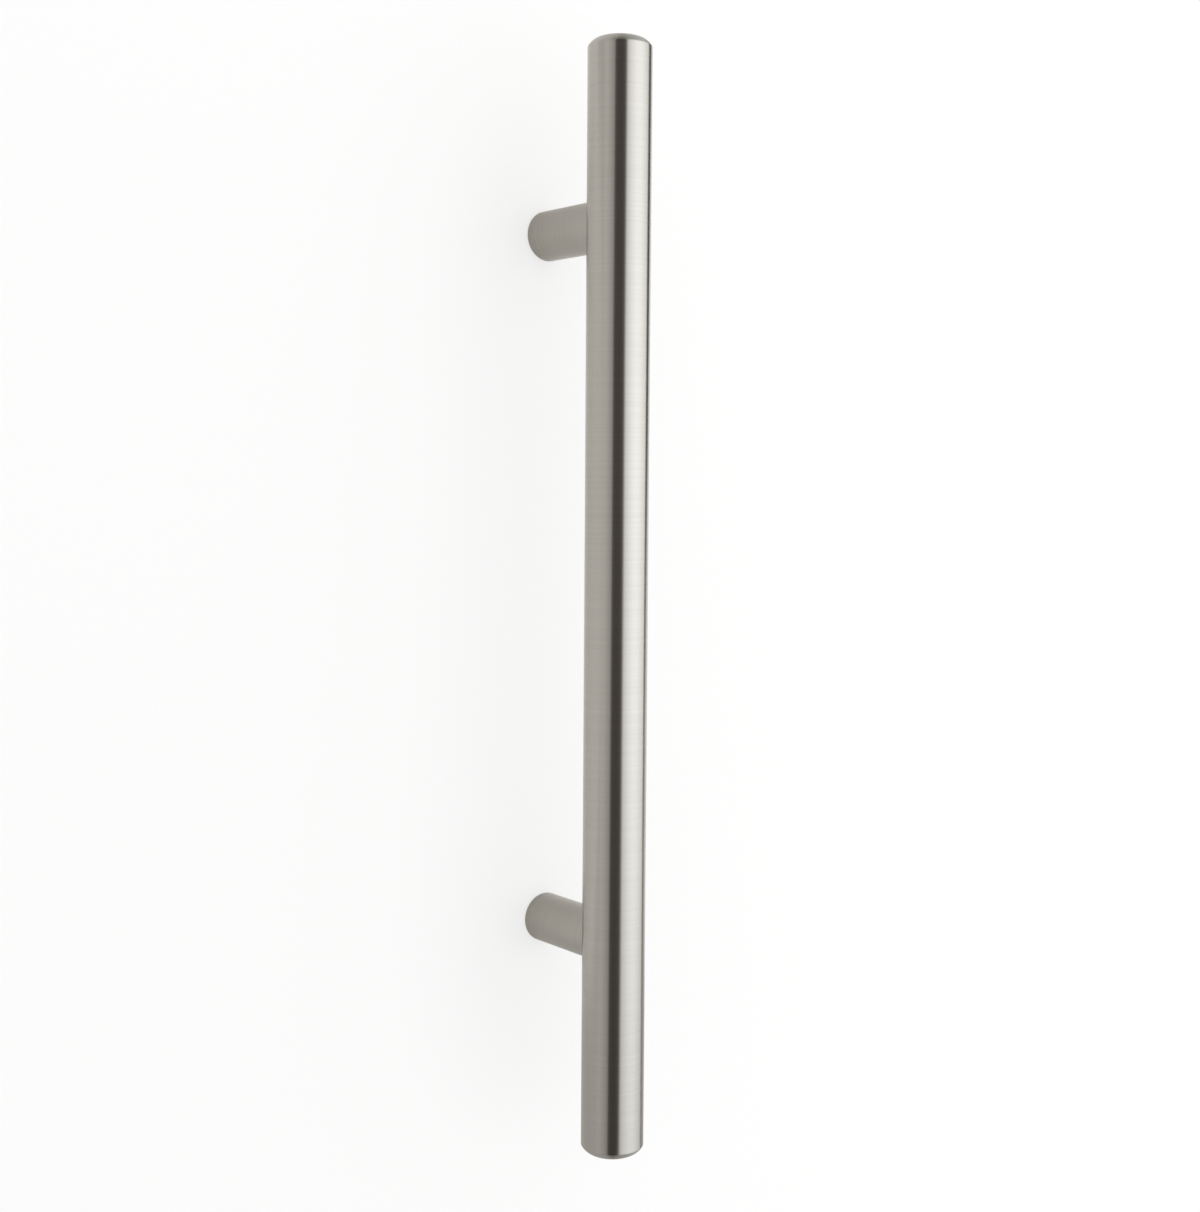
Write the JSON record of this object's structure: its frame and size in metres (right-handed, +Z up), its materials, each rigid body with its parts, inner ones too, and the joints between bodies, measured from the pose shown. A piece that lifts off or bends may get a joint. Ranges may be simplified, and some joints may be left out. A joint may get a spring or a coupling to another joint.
{
  "type": "bar door pull",
  "caption": "Straight round bar pull for a door: a satin brushed metal grip bar with rounded-over ends, carried on short round posts with threaded feet for bolts through the door.",
  "frame": {"origin": "on the door face, midway between the centres of the two post feet", "axes": "+Z up along the bar, +Y from the bar through the posts into the door, +X to the right for someone facing the door"},
  "size_m": [0.02, 0.048, 0.35],
  "materials": {
    "bar_metal": "satin, brushed round the bar",
    "post_metal": "satin, brushed round the post",
    "stud_steel": "plain bright steel"
  },
  "bodies": {
    "root": {"grip_bar": "bar_metal", "upper_post": "post_metal", "lower_post": "post_metal", "joining_studs": "stud_steel"}
  },
  "joints": []
}
